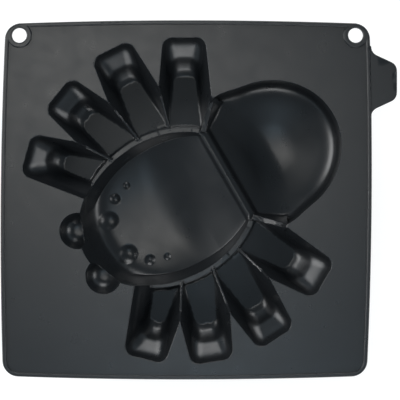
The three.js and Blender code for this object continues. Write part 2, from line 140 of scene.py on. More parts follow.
# Legs: each pair leaves the centre at an angle from the axis and ends at its reach
Leg = namedtuple("Leg", "name angle reach")
LEGS = [Leg("rear", 60.5, 108.6), Leg("mid_rear", 86.7, 112.4),
        Leg("mid_front", 110.6, 111.4), Leg("front", 134.5, 111.5)]
LEG_HALF = 14.9
LEG_GAUGE = 8
LEG_TAPER = math.tan(math.radians(5.5))
LEG_CORNER = 6
LEG_DEPTH = 28
OUTSIDE = -10
FAR_OUT = 400
LegWall = namedtuple("LegWall", "depth side_in end_in corner head_in")
LEG_WALLS = [LegWall(*row) for row in (
    (OUTSIDE, -1.5, -1.5, LEG_CORNER, 0),
    (0, 0, 0, LEG_CORNER, 0),
    (4.5, 0.9, 0.9, LEG_CORNER, 0.4),
    (7, 1.5, 2, LEG_CORNER, 0.6),
    (9.4, 2.1, 3.9, LEG_CORNER, 0.8),
    (12.4, 2.9, 7.4, 6.5, 2.1),
    (15.8, 3.8, 12, 7, 3),
    (16.8, 4.4, 12.9, 7.5, 3.2),
    (20.5, 5.6, 15.4, 7.5, 3.7),
    (22, 6, 16.6, 7.5, 4),
    (25, 6.8, 19.8, 7, 4),
    (27, 7.6, 22.2, 6, 4),
    (LEG_DEPTH, 9.2, 24.6, 4.5, 4))]
LEG_SOFT = 1.1
LEG_RISE = 8
LEG_KNEE = 20
LEG_RUN = 44
LEG_CLIMB = 1.2

# Softness of the edges, as the height over which two slopes run into each other
SOFT_LIP = 0.9
SOFT_RIDGE = 2.6
SOFT_RING = 0.8
SOFT_BEAD = 2
SOFT_SHOULDER = 8
SOFT_WAIST = {1: 11, -1: 5}
SOFT_WALL = 0.5
SOFT_EYE = 0.8

# Levels
TOP = BODY_DEPTH + WALL
UNDER = TOP - SHEET_THICK
RIM_TOP = TOP + RIM_RISE
RIM_UNDER = UNDER - RIM_DROP
TAB_TOP = RIM_TOP - TAB_BELOW_RIM
SHEET_X = -TAB_REACH / 2
HUB = (SHEET_X - SPIDER_SHIFT * math.sin(SPIDER_TURN), SPIDER_SHIFT * math.cos(SPIDER_TURN))

# Spacing along the lines of the plan
ALONG = 1.2
SHEET_ALONG = 2.4
EYE_ALONG = 0.7
LEAST_ROUND = 12
LEAST_ARC = 5
ARC_LENGTH = 1.6
CORNER_POINTS = 10
EYELET_POINTS = 56
TAB_ROOT_POINTS = 7
TAB_TIP_POINTS = 9

# Rows of points beside the edges, as distances, depths or shares of a radius
EDGE_ROWS = (-0.5, 0, 0.07, 0.22, 0.6, 1.2, 1.9, 2.7, 3.6)
EDGE_SLACK = 4.5
FOOT_ROWS = (-0.7, -0.25, 0, 0.25, 0.7)
FOOT_FROM = 0.7
WALL_ROWS = (2, 4, 5.5, 7, 8.5, 10, 12, 14, 15.5, 16.5, 18, 20, 21.5, 23, 24.5, 26, 27, 27.6)
WAIST_ROWS = np.arange(-4.8, 5, 0.6)
EYE_ROWS = (0.3, 0.55, 0.75, 0.88, 0.96, 1.04)
ROUND_ROWS = (0.12, 0.4, RIM_ROUND)
TAB_ROWS = (0.1, 0.3, TAB_EDGE, 1.5)

# Least distance of loose points from those that are kept already
APART_EDGE = 0.18
APART_ROW = 0.3
APART_EYE = 0.25
APART_RIM = 0.1
APART_TAB = 0.08
APART_GRID = 0.62

# Grid over the rest, fine in the spider and coarse elsewhere
GRID = 1.25
COARSE = 4 * GRID
APART_COARSE = 0.8 * GRID
GRID_MARGIN = 2
GRID_DEPTH = 0.5

# Numeric settings
HALVINGS = 18
SLOPE_STEP = 0.12
JOIN = 0.02
PROFILE_STEPS = 5
PROFILE_REACH = 3 * PROFILE_STEPS

# Look of the silicone: noises are scale and detail, and the mix node's colour sockets go by number
SILICONE_IOR = 1.5
SHADES = ((0.0076, 0.0086, 0.0098, 1), (0.0098, 0.011, 0.0124, 1))
SHADE_NOISE = (38, 4)
ROUGHNESS = (0.27, 0.33)
ROUGH_NOISE = (90, 5)
GRAIN_STRENGTH = 0.04
GRAIN_HEIGHT = 0.0001
GRAIN_NOISE = (1400, 2)
NOISE_RANGE = (0.3, 0.7)
MIX_FACTOR, MIX_FIRST, MIX_SECOND, MIX_RESULT = 0, 6, 7, 2

# Stage, in metres: a white floor, a tent that is pale near the horizon and dim overhead, soft lamps
FLOOR_HALF = 3
FLOOR_SEEN = (0.3, 0.3, 0.3, 1)
FLOOR_GLOW = 0.84
FLOOR_BOUNCE = (0.75, 0.75, 0.75, 1)
TENT_COLOUR = (0.8, 0.98, 1.12, 1)
TENT_TOP = (math.radians(11), math.radians(26))
TENT_PALE = 0.7
TENT_DIM = 0.23
Lamp = namedtuple("Lamp", "name azimuth elevation away size radiance tint", defaults=((1, 1, 1),))
LAMPS = [
    Lamp("key", 115, 86, 1.2, (0.42, 0.42), 2.6, (1, 0.985, 0.955)),
    Lamp("corner", 138, 74, 1.25, (0.3, 0.3), 3, (1, 0.98, 0.93)),
    Lamp("fill", -86, 75, 1.24, (0.3, 0.3), 2.2, (0.75, 1, 1.2)),
    Lamp("behind", 88, 20, 1.0, (0.6, 0.3), 6),
    Lamp("front", 275, 20, 1.0, (0.6, 0.3), 5),
    Lamp("right", -5, 20, 1.0, (0.5, 0.3), 5),
    Lamp("left", 170, 26, 1.0, (0.75, 0.5), 6.4)]

# Camera: straight above, as far away as makes a pixel of the photo as wide as it is on the sheet
PHOTO_PIXELS = 400
PIXEL = 0.674
LENS = 180
SENSOR = 36
CAMERA_AT = (0.8, -0.07)


# Measures in plan

def smooth_min(a, b, soft):
    """The lower of two heights, running into each other over a soft stretch."""
    share = np.clip(0.5 + 0.5 * (b - a) / soft, 0, 1)
    return b + (a - b) * share - soft * share * (1 - share)


def smooth_max(a, b, soft):
    """The higher of two heights, in the same way."""
    return -smooth_min(-a, -b, soft)


def turn_by(degrees, u, v):
    """A point as its distance along a direction from the spider's centre and its distance across it."""
    c, s = math.cos(math.radians(degrees)), math.sin(math.radians(degrees))
    return u * c + v * s, v * c - u * s


def to_spider(x, y):
    """From the sheet's plan to the spider's own axes."""
    return turn_by(math.degrees(SPIDER_TURN), x - HUB[0], y - HUB[1])


def to_world(u, v):
    """From the spider's own axes to the sheet's plan."""
    x, y = turn_by(-math.degrees(SPIDER_TURN), np.asarray(u, float), np.asarray(v, float))
    return x + HUB[0], y + HUB[1]


def oval_inset(form, u, v, grow):
    """About how far a point lies inside an oval."""
    reach = np.where(u > form.u, form.rear, form.front) + grow
    return (1 - np.hypot((u - form.u) / reach, (v - form.v) / (form.half + grow))) * (form.half + grow)


def rounded(from_side, from_end, corner):
    """How far a point lies inside an end with round corners."""
    return corner - np.hypot(np.maximum(corner - from_side, 0), np.maximum(corner - from_end, 0))


# Depth fields of the cavity, each grown outward by a wall for the under skin

def from_lowest(form, u, v, grow):
    """How far a point lies from a bowl's lowest point, as a share of the way to its outline."""
    lowest = form.u + form.low
    reach = np.where(u > lowest, form.rear - form.low, form.front + form.low) + grow
    return np.hypot((u - lowest) / reach, (v - form.v) / (form.half + grow))


def bowl(form, u, v, grow, share=None):
    """A full curve with a softly flattened crown; below zero outside its oval, or beyond a given share."""
    reach = np.where(u > form.u, form.rear, form.front) + grow
    if share is None:
        share = np.hypot((u - form.u) / reach, (v - form.v) / (form.half + grow))
    inside = np.clip(share, TINY, 1)
    ahead = np.clip((form.u - u) / reach, 0, 1) ** 2
    full = form.full ** (1 - ahead) * form.nose ** ahead
    dome = np.clip(from_lowest(form, u, v, grow), TINY, DOME_REACH)
    crown = (1 + form.sag * form.flat ** form.power) / (1 - form.flat ** form.full) ** (1 / form.full)
    curve = crown * (1 - inside ** full) ** (1 / full) - form.sag * (1 - ahead) * dome ** form.power
    level = smooth_min(curve, 1.0, CROWN_ROUND) / smooth_min(crown, 1.0, CROWN_ROUND)
    return (form.depth + grow) * level - FAR_OUT * np.maximum(share - 1, 0)


def waist_limit(u, v, side, grow):
    """The slope that climbs to the waist from the thorax (side 1) or from the abdomen (side -1)."""
    beyond = side * (WAIST - u)
    dish = WAIST_DISH * v ** 2 * np.clip(beyond / WAIST_REACH, 0, 1)
    return WAIST_FOOT[side] + grow + WAIST_SLOPE[side] * (beyond + grow) - dish


def waist_rib(u):
    """Height of the round rib that crosses the cavity on top of the waist."""
    return RIB_HEIGHT * np.exp(-((u - WAIST) / RIB_HALF) ** RIB_POWER)


def ring_limit(u, v, grow):
    """How deep a leg may be near the ring: level with its crest, then down the ring's outer face."""
    outside = smooth_max(-oval_inset(RING, u, v, -grow), 0, SOFT_RING)
    return RING_DEPTH + grow + outside / RING_DRAFT


def smooth_profile(points, spread):
    """A profile of draw-in over depth through points, rounded over a spread of the depth."""
    step = spread / PROFILE_STEPS
    depth = np.arange(points[0][0], points[-1][0] + step / 2, step)
    draw = np.interp(depth, *zip(*points))
    weight = np.exp(-0.5 * (np.arange(-PROFILE_REACH, PROFILE_REACH + 1) * step / spread) ** 2)
    padded = np.pad(draw, PROFILE_REACH, mode="reflect", reflect_type="odd")
    return depth, np.convolve(padded, weight / weight.sum(), mode="valid")


SIDE_CURVE, END_CURVE, CORNER_CURVE, HEAD_CURVE = (
    smooth_profile([(wall.depth, getattr(wall, column)) for wall in LEG_WALLS], LEG_SOFT)
    for column in ("side_in", "end_in", "corner", "head_in"))


def leg_half(leg, along):
    """Half the width of a leg's outline at a distance along it."""
    return LEG_HALF + (leg.reach - LEG_GAUGE - along) * LEG_TAPER


def leg_inset(leg, along, across, grow):
    """How far a point lies inside a leg's outline."""
    return rounded(leg_half(leg, along) - np.abs(across) + grow, leg.reach - along + grow, LEG_CORNER + grow)


def trough(leg, side, u, v, grow):
    """Depth of a leg: the deepest level whose outline still holds the point, found by halving."""
    along, across = turn_by(side * leg.angle, u, v)
    result = np.full(u.shape, float(OUTSIDE))
    near = (leg_inset(leg, along, across, grow) > LEG_WALLS[0].end_in) & (along > 0)
    s, t = along[near], side * across[near]
    half = leg_half(leg, s) + grow
    from_end = leg.reach - s + grow
    low, high = np.full(s.shape, float(OUTSIDE)), np.full(s.shape, float(LEG_DEPTH))
    for _ in range(HALVINGS):
        depth = (low + high) / 2
        side_in, end_in, corner = (
            np.interp(depth, *curve) for curve in (SIDE_CURVE, END_CURVE, CORNER_CURVE))
        shift = np.interp(depth, *HEAD_CURVE) / 2 if leg.name == "front" else 0
        from_side = half - side_in - shift - np.abs(t + shift)
        inside = rounded(from_side, from_end - end_in, corner + grow) >= 0
        low, high = np.where(inside, depth, low), np.where(inside, high, depth)
    climb = np.clip((leg.reach - LEG_KNEE - s) / LEG_RUN, 0, LEG_CLIMB)
    result[near] = low * (1 - LEG_RISE / LEG_DEPTH * climb) * (LEG_DEPTH + grow) / LEG_DEPTH
    return result


def leg_ridge(near, far):
    """The ridge between two legs, with its crest from where their outlines meet to the ring."""
    half = math.radians((far.angle - near.angle) / 2)
    reach = (near.reach + far.reach) / 2
    meet = (LEG_HALF + (reach - LEG_GAUGE) * LEG_TAPER) / (math.sin(half) + LEG_TAPER * math.cos(half))
    fall = [(meet - back, depth) for back, depth in RIDGE_FALL]
    profile = [(meet, 0)] + fall + [(RIDGE_ROOT, RING_DEPTH)]
    return Border((near.angle + far.angle) / 2, profile, RIDGE_HALF)


BORDERS = [Border(ABDOMEN_BORDER, ABDOMEN_RIDGE, ABDOMEN_HALF)]
BORDERS += [leg_ridge(near, far) for near, far in zip(LEGS, LEGS[1:])]


def ridge(border, side, u, v):
    """Crest of the ridge between two neighbours, as the relief above it and the fin below it."""
    along, across = turn_by(side * border.angle, u, v)
    crest = np.interp(along, *zip(*reversed(border.profile)))
    apart = np.abs(across)
    inside = (along > FLANK_ROOT) & (along < border.profile[0][0])
    relief = np.where(inside & (apart < RIDGE_BAR / 2), crest, OUTSIDE)
    beside = inside & (oval_inset(RING, u, v, 0) < RING_WIDTH / 2)
    fin = np.where(beside, crest + np.maximum(apart - border.half, 0) / RIDGE_DRAFT, FAR_OUT)
    return relief, fin


def abdomen_inset(u, v, grow):
    """How far a point lies inside the abdomen and its shoulders, which reach to the rear legs' ridges."""
    inset = oval_inset(ABDOMEN, u, v, grow)
    for side, shoulder in SHOULDERS.items():
        _, across = turn_by(side * SHOULDER_END, u, v)
        corner = oval_inset(shoulder, u, v, grow)
        inset = smooth_max(inset, np.minimum(corner, -side * across), SHOULDER_FILLET)
    return inset


def abdomen_depth(u, v, grow):
    """Depth of the abdomen with its shoulders; on the upper skin the rear legs' ridges cut into it."""
    share = np.maximum(1 - abdomen_inset(u, v, grow) / (ABDOMEN.half + grow), 0)
    form = bowl(ABDOMEN, u, v, grow, share)
    if grow == 0:
        for side in SIDES.values():
            _, fin = ridge(BORDERS[0], side, u, v)
            form = smooth_min(form, fin, SOFT_SHOULDER)
    return smooth_min(form, waist_limit(u, v, -1, grow), SOFT_WAIST[-1])


def thorax_floor(u, v, grow):
    """Depth of the thorax without the slope of its inner wall."""
    return smooth_min(bowl(THORAX, u, v, grow), waist_limit(u, v, 1, grow), SOFT_WAIST[1])


def thorax_wall(u, v):
    """Depth of the slope that falls from the ring's crest to the thorax floor."""
    return RING_DEPTH + WALL_FALL * np.maximum(oval_inset(THORAX, u, v, 0), 0)


def thorax_depth(u, v, grow):
    """Depth of the thorax; only the upper skin has the sloped inner wall."""
    floor = thorax_floor(u, v, grow)
    return smooth_min(floor, thorax_wall(u, v), SOFT_WALL) if grow == 0 else floor


def eye_depth(eye, side, u, v, grow):
    """A ball sunk into the thorax floor along the floor's own slope."""
    at_u, at_v = np.array([eye.u]), np.array([side * eye.v])
    rise_u, rise_v = (
        bowl(THORAX, at_u + du, at_v + dv, 0)[0] - bowl(THORAX, at_u - du, at_v - dv, 0)[0]
        for du, dv in ((EYE_STEP, 0), (0, EYE_STEP)))
    slope = np.array([rise_u, rise_v, 2 * EYE_STEP])
    slope /= np.linalg.norm(slope)
    radius = (eye.radius ** 2 + eye.sink ** 2) / (2 * eye.sink)
    lift_off = radius - eye.sink
    apart = np.hypot(u - eye.u - lift_off * slope[0], v - side * eye.v - lift_off * slope[1])
    rest = (radius + grow) ** 2 - apart ** 2
    centre = bowl(THORAX, at_u, at_v, 0)[0] - lift_off * slope[2]
    return np.where(rest > 0, centre + np.sqrt(np.maximum(rest, 0)), OUTSIDE)


def cavity(x, y, grow):
    """Depth of the whole cavity below the sheet's upper face, or of its outside when grown by the wall."""
    u, v = to_spider(x, y)
    depth = thorax_depth(u, v, grow)
    for eye in EYES:
        for side in SIDES.values():
            depth = smooth_max(depth, eye_depth(eye, side, u, v, grow), SOFT_EYE)
    depth = smooth_max(depth, abdomen_depth(u, v, grow), SOFT_BEAD)
    if grow == 0:
        depth = depth - waist_rib(u)
    for fang in FANGS.values():
        depth = smooth_max(depth, bowl(fang, u, v, grow), SOFT_LIP)
    legs = np.full(u.shape, float(OUTSIDE))
    for side in SIDES.values():
        for leg in LEGS:
            legs = np.maximum(legs, trough(leg, side, u, v, grow))
        if grow == 0:
            for border in BORDERS:
                relief, fin = ridge(border, side, u, v)
                legs = smooth_min(smooth_max(legs, relief, SOFT_RIDGE), fin, SOFT_RIDGE)
    return smooth_max(depth, smooth_min(legs, ring_limit(u, v, grow), SOFT_RIDGE), SOFT_RIDGE)


# Sheet, rim, eyelets and tab in plan

def sheet_inset(x, y):
    """How far a point lies inside the sheet's outer edge, which bows and has round corners."""
    half_x, half_y = SHEET_WIDTH / 2 - SHEET_BOW, SHEET_LENGTH / 2 - SHEET_BOW
    across = x - SHEET_X - SHEET_LEAN * y
    bow_x = SHEET_BOW * np.maximum(1 - (y / (half_y - SHEET_CORNER)) ** 2, 0)
    bow_y = SHEET_BOW * np.maximum(1 - (across / (half_x - SHEET_CORNER)) ** 2, 0)
    return rounded(half_x + bow_x - np.abs(across), half_y + bow_y - np.abs(y), SHEET_CORNER)


def sheet_outline(inset):
    """Points round the sheet at an inset from its edge."""
    half_x, half_y = SHEET_WIDTH / 2 - SHEET_BOW, SHEET_LENGTH / 2 - SHEET_BOW
    run_x, run_y = half_x - SHEET_CORNER, half_y - SHEET_CORNER
    arc = np.linspace(0, math.pi / 2, CORNER_POINTS)[1:-1]
    points = []
    for sx, sy in ((1, 1), (-1, 1), (-1, -1), (1, -1)):
        upright = sx * sy > 0
        along = np.linspace(-1, 1, int(2 * (run_y if upright else run_x) / SHEET_ALONG))
        bow = SHEET_BOW * (1 - along ** 2)
        if upright:
            points += [(sx * (half_x + b - inset), sx * a * run_y) for a, b in zip(along, bow)]
        else:
            points += [(-sy * a * run_x, sy * (half_y + b - inset)) for a, b in zip(along, bow)]
        turn = arc + (0 if upright else math.pi / 2) + (0 if sy > 0 else math.pi)
        reach = SHEET_CORNER - inset
        points += [(math.copysign(run_x, math.cos(t)) + reach * math.cos(t),
                    math.copysign(run_y, math.sin(t)) + reach * math.sin(t)) for t in turn]
    return np.array([(SHEET_X + x + SHEET_LEAN * y, y) for x, y in points]).T


def eyelet_centre(side):
    """Middle of the hanging hole at the left (-1) or the right (1) of the sheet."""
    y = SHEET_LENGTH / 2 - SHEET_BOW / 2 - EYELET_FROM_TOP
    x = SHEET_X + side * (SHEET_WIDTH / 2 - SHEET_BOW - EYELET_FROM_SIDE) + SHEET_LEAN * y
    return x, y


def eyelet_points(side, radius):
    """Points of a circle round a hanging hole."""
    x, y = eyelet_centre(side)
    turn = np.linspace(0, 2 * math.pi, EYELET_POINTS, endpoint=False)
    return x + radius * np.cos(turn), y + radius * np.sin(turn)


def disc_inset(x, y, side, radius):
    """How far a point lies inside a circle round a hanging hole."""
    centre = eyelet_centre(side)
    return radius - np.hypot(x - centre[0], y - centre[1])


def curve_through(start, control, end, count):
    """Points of a curve that leaves its start and reaches its end towards a control point."""
    t = np.linspace(0, 1, count)[:, None]
    start, control, end = (np.array(p, float) for p in (start, control, end))
    return [tuple(p) for p in (1 - t) ** 2 * start + 2 * t * (1 - t) * control + t ** 2 * end]


def tab_outline():
    """Tongue with a round tip and a flared root that runs in under the rim."""
    edge = SHEET_X + SHEET_WIDTH / 2 + SHEET_LEAN * TAB_CENTRE - SHEET_BOW / 2
    tip = SHEET_X + SHEET_WIDTH / 2 + TAB_REACH
    root, end = TAB_ROOT / 2, TAB_TIP / 2
    flank = Vector((tip - edge, end - root)).normalized() * TAB_ROUND
    lower = [(edge - TAB_INSIDE, -root - TAB_ROUND)]
    lower += curve_through((edge, -root - TAB_ROUND), (edge, -root), (edge + flank.x, -root - flank.y),
                           TAB_ROOT_POINTS)
    lower += curve_through((tip - flank.x, -end + flank.y), (tip, -end), (tip, -end + TAB_ROUND),
                           TAB_TIP_POINTS)
    upper = [(x, -y) for x, y in reversed(lower)]
    return [(x, y + TAB_CENTRE) for x, y in lower + upper]


TAB = tab_outline()


def from_line(line, x, y):
    """How far points lie from an open line."""
    corners = np.array(line)
    best = np.full(np.shape(x), np.inf)
    for a, b in zip(corners, corners[1:]):
        along = b - a
        share = np.clip(((x - a[0]) * along[0] + (y - a[1]) * along[1]) / (along @ along), 0, 1)
        best = np.minimum(best, np.hypot(x - a[0] - share * along[0], y - a[1] - share * along[1]))
    return best


def inside_polygon(outline, x, y):
    """Which points lie inside an outline."""
    inside = np.zeros(np.shape(x), bool)
    for (ax, ay), (bx, by) in zip(outline, outline[1:] + outline[:1]):
        crosses = (ay > y) != (by > y)
        rise = by - ay if by != ay else 1.0
        inside ^= crosses & (x < (bx - ax) * (y - ay) / rise + ax)
    return inside


# The two skins

def edge_drop(inset, radius):
    """How far a round edge falls at an inset from it."""
    rest = np.clip(radius - inset, 0, radius)
    return radius - np.sqrt(radius ** 2 - rest ** 2)


def rim_inset(x, y):
    """How far a point lies inside the raised band made of the rim and the eyelets."""
    inset = sheet_inset(x, y)
    band = RIM_WIDTH - inset
    hole = np.full(np.shape(x), np.inf)
    for side in EYELET_SIDES:
        band = np.maximum(band, disc_inset(x, y, side, EYELET_RADIUS))
        hole = np.minimum(hole, -disc_inset(x, y, side, EYELET_HOLE))
    return np.minimum(np.minimum(inset, band), hole)


def upper_sheet(x, y):
    return TOP - smooth_max(cavity(x, y, 0), 0.0, SOFT_LIP)


def lower_sheet(x, y):
    outside = smooth_max(cavity(x, y, WALL), SHEET_THICK, SOFT_RIDGE)
    return np.minimum(TOP - outside, upper_sheet(x, y) - LEAST_WALL)


def upper_rim(x, y):
    return RIM_TOP - edge_drop(rim_inset(x, y), RIM_ROUND)


def lower_rim(x, y):
    return RIM_UNDER + edge_drop(rim_inset(x, y), RIM_ROUND)


def upper_tab(x, y):
    return TAB_TOP - edge_drop(from_line(TAB[1:-1], x, y), TAB_EDGE)


def lower_tab(x, y):
    return TAB_TOP - TAB_THICK + edge_drop(from_line(TAB[1:-1], x, y), TAB_EDGE)


# Lines of points in plan

def oval_points(form, grow, step=ALONG):
    """Points round an oval, grown outward."""
    count = max(LEAST_ROUND, int(2 * math.pi * form.half / step))
    turn = np.linspace(0, 2 * math.pi, count, endpoint=False)
    reach = np.where(np.cos(turn) > 0, form.rear, form.front) + grow
    return to_world(form.u + reach * np.cos(turn), form.v + (form.half + grow) * np.sin(turn))


def eye_points(eye, side, radius):
    """Points of a circle round an eye."""
    return oval_points(Oval(eye.u, side * eye.v, radius, radius, radius), 0, EYE_ALONG)


def abdomen_points(grow, row):
    """Points round the abdomen with its shoulders, at a row inside its outline, found by halving."""
    turn = np.linspace(0, 2 * math.pi, int(2 * math.pi * ABDOMEN.half / ALONG), endpoint=False)
    low, high = np.zeros(turn.shape), np.full(turn.shape, 2.0 * ABDOMEN.half)
    for _ in range(2 * HALVINGS):
        reach = (low + high) / 2
        inside = abdomen_inset(ABDOMEN.u + reach * np.cos(turn), reach * np.sin(turn), grow) > row
        low, high = np.where(inside, reach, low), np.where(inside, high, reach)
    return to_world(ABDOMEN.u + low * np.cos(turn), low * np.sin(turn))


def foot_points(row):
    """Points where the thorax wall meets its floor, moved outward by a row, and which of them count."""
    turn = np.linspace(0, 2 * math.pi, int(2 * math.pi * THORAX.front / ALONG), endpoint=False)
    along = np.where(np.cos(turn) > 0, THORAX.rear, THORAX.front) * np.cos(turn)
    across = THORAX.half * np.sin(turn)
    low, high = np.full(turn.shape, FOOT_FROM), np.ones(turn.shape)
    for _ in range(HALVINGS):
        share = (low + high) / 2
        u, v = THORAX.u + share * along, share * across
        on_wall = thorax_wall(u, v) < thorax_floor(u, v, 0)
        low, high = np.where(on_wall, low, share), np.where(on_wall, share, high)
    share = low + row / THORAX.half
    u, v = THORAX.u + share * along, share * across
    return to_world(u, v), (u < WAIST - RIB_HALF) & (share < 1)


def leg_points(leg, side, side_in, end_in, corner):
    """Open outline of a leg from its root along one side, round its end and back, drawn in or grown."""
    centre = leg.reach - end_in - corner
    root = RIDGE_ROOT / 2
    run = np.linspace(root, centre, int((centre - root) / ALONG))
    half = leg_half(leg, centre) - side_in
    arc = np.linspace(0, math.pi / 2, max(LEAST_ARC, int(corner * ARC_LENGTH / ALONG)))[1:]
    across = np.linspace(half - corner, corner - half, int(2 * (half - corner) / ALONG))[1:]
    s = np.concatenate([run, centre + corner * np.sin(arc), np.full(across.shape, centre + corner)])
    t = np.concatenate([leg_half(leg, run) - side_in, half - corner + corner * np.cos(arc), across])
    back = slice(0, len(run) + len(arc))
    s, t = np.concatenate([s, s[back][::-1]]), np.concatenate([t, -t[back][::-1]])
    return to_world(*turn_by(-side * leg.angle, s, t))


def line_points(a, b):
    """Points from one place in the spider's axes to another."""
    count = max(2, int(math.dist(a, b) / ALONG))
    return to_world(np.linspace(a[0], b[0], count), np.linspace(a[1], b[1], count))


def at_angle(degrees, along, across=0):
    """The place at a distance along a direction from the spider's centre and a distance across it."""
    return turn_by(-degrees, along, across)


# Plan

class Plan:
    """Points and border edges of the plan, gathered before they are triangulated."""

    def __init__(self):
        self.points, self.edges, self.cells = [], [], {}

    def near(self, x, y, apart):
        """Whether a kept point lies closer than a distance."""
        cx, cy = int(x // GRID), int(y // GRID)
        return any(math.hypot(x - px, y - py) < apart
                   for i in (-1, 0, 1) for j in (-1, 0, 1)
                   for px, py in self.cells.get((cx + i, cy + j), ()))

    def keep(self, x, y):
        """Add a point and give its number."""
        self.points.append((x, y))
        self.cells.setdefault((int(x // GRID), int(y // GRID)), []).append((x, y))
        return len(self.points) - 1

    def border(self, xs, ys, closed=True, fresh=None):
        """A line that no triangle crosses, or those stretches of it that are fresh."""
        wanted = np.ones(len(xs), bool) if fresh is None else fresh
        kept = [self.keep(float(x), float(y)) if w else None for x, y, w in zip(xs, ys, wanted)]
        pairs = zip(kept, kept[1:] + kept[:1] if closed else kept[1:])
        self.edges += [(a, b) for a, b in pairs if a is not None and b is not None]

    def scatter(self, xs, ys, apart):
        """Loose points, left out where a kept point is close."""
        for x, y in zip(np.ravel(xs).tolist(), np.ravel(ys).tolist()):
            if not self.near(x, y, apart):
                self.keep(x, y)


def on_surface(xs, ys, grow, own):
    """Which points of a form's outline lie on the surface and not inside a neighbour."""
    depth = np.maximum(own(*to_spider(xs, ys), grow), RING_DEPTH)
    return cavity(xs, ys, grow) < depth + EDGE_SLACK


def draw_borders(plan):
    """The borders between the pieces, so that each triangle lies in one piece."""
    for inset in (0, RIM_WIDTH):
        plan.border(*sheet_outline(inset))
    for side in EYELET_SIDES:
        for radius in (EYELET_RADIUS, EYELET_HOLE):
            plan.border(*eyelet_points(side, radius))
    plan.border(*zip(*TAB))
    for side in SIDES.values():
        for eye in EYES:
            plan.border(*eye_points(eye, side, eye.radius + EYE_LIP))
        for border in BORDERS:
            turn = side * border.angle
            near, far = at_angle(turn, FLANK_ROOT), at_angle(turn, border.profile[0][0] + 2 * LIP)
            plan.border(*line_points(near, far), closed=False)
        flank = [at_angle(side * ABDOMEN_BORDER, along, across) for along, across in (
            (FLANK_ROOT, RIDGE_BAR / 2), (FLANK_END, RIDGE_BAR / 2),
            (FLANK_END, -RIDGE_BAR / 2), (FLANK_ROOT, -RIDGE_BAR / 2))]
        for a, b in zip(flank, flank[1:]):
            plan.border(*line_points(a, b), closed=False)
        for leg in LEGS:
            plan.border(*leg_points(leg, side, -LIP, -LIP, LEG_CORNER + LIP), closed=False)
    for fang in FANGS.values():
        plan.border(*oval_points(fang, LIP))
    plan.border(*oval_points(RING, WALL))
    plan.border(*oval_points(ABDOMEN, LIP))
    for shoulder in SHOULDERS.values():
        plan.border(*oval_points(shoulder, LIP))
    plan.border(*oval_points(THORAX, LIP))
    half = RING.half + WALL
    plan.border(*line_points((WAIST, -half), (WAIST, half)), closed=False)


def add_edge_rows(plan):
    """Rows beside the crisp edges of the bowls, the fangs and the legs, on both skins."""
    for row in EDGE_ROWS:
        for base in (0, WALL):
            grow = base - row
            walls = [(oval_points(THORAX, grow), thorax_depth), (abdomen_points(base, row), abdomen_depth)]
            walls += [(oval_points(fang, grow), partial(bowl, fang)) for fang in FANGS.values()]
            for (xs, ys), own in walls:
                plan.border(xs, ys, fresh=on_surface(xs, ys, base, own))
            for leg in LEGS:
                for side in SIDES.values():
                    xs, ys = leg_points(leg, side, -grow, -grow, LEG_CORNER + grow)
                    fresh = on_surface(xs, ys, base, partial(trough, leg, side))
                    plan.scatter(xs[fresh], ys[fresh], APART_EDGE)


def add_form_rows(plan):
    """Rows along the thorax wall's foot, the legs' walls, the waist and the eyes."""
    for row in FOOT_ROWS:
        (xs, ys), fresh = foot_points(row)
        plan.border(xs, ys, fresh=fresh)
    for leg in LEGS:
        for side in SIDES.values():
            for depth in WALL_ROWS:
                draw = (np.interp(depth, *curve) for curve in (SIDE_CURVE, END_CURVE, CORNER_CURVE))
                plan.scatter(*leg_points(leg, side, *draw), APART_ROW)
    for row in WAIST_ROWS:
        plan.scatter(*line_points((WAIST + row, -RING.half), (WAIST + row, RING.half)), APART_ROW)
    for side in SIDES.values():
        for eye in EYES:
            for share in EYE_ROWS:
                plan.scatter(*eye_points(eye, side, share * eye.radius), APART_EYE)


def add_rim_rows(plan):
    """Rows across the round edges of the rim, the eyelets and the tab."""
    back = ROUND_ROWS[::-1]
    for inset in (*ROUND_ROWS, RIM_WIDTH / 2, *(RIM_WIDTH - row for row in back)):
        plan.scatter(*sheet_outline(inset), APART_RIM)
    for side in EYELET_SIDES:
        for radius in (*(EYELET_HOLE + row for row in ROUND_ROWS), *(EYELET_RADIUS - row for row in back)):
            plan.scatter(*eyelet_points(side, radius), APART_RIM)
    corners = np.array(TAB)
    ahead = np.roll(corners, -1, 0) - np.roll(corners, 1, 0)
    inward = np.stack([-ahead[:, 1], ahead[:, 0]], 1) / np.linalg.norm(ahead, axis=1)[:, None]
    for inset in TAB_ROWS:
        plan.scatter(*(corners + inset * inward).T, APART_TAB)


def add_grid(plan):
    """An even grid of triangles over the spider and a coarse one over the rest."""
    reach = SHEET_WIDTH / 2
    columns = np.arange(-reach, reach, GRID) + SHEET_X
    rows = np.arange(-reach, reach, GRID * math.sqrt(3) / 2)
    xs, ys = np.meshgrid(columns, rows)
    xs = xs + np.where(np.arange(len(rows)) % 2, GRID / 2, 0)[:, None]
    spider = cavity(xs.ravel(), ys.ravel(), WALL + GRID_MARGIN) > GRID_DEPTH
    plan.scatter(xs.ravel()[spider], ys.ravel()[spider], APART_GRID)
    columns, rows = np.arange(-reach, reach + TAB_REACH, COARSE), np.arange(-reach, reach, COARSE)
    plan.scatter(*np.meshgrid(columns, rows), APART_COARSE)


def triangulate(plan):
    """Points and triangles of the plan, all turning the same way."""
    places = [Vector(p) for p in plan.points]
    verts, _, faces, *_ = delaunay_2d_cdt(places, plan.edges, [], 0, JOIN, False)
    points = np.array([(p.x, p.y) for p in verts])
    faces = np.array([f for f in faces if len(f) == 3])
    a, b, c = (points[faces[:, i]] for i in range(3))
    (bx, by), (cx, cy) = (b - a).T, (c - a).T
    flip = bx * cy - by * cx < 0
    faces[flip] = faces[flip][:, ::-1]
    return points, faces


# Regions

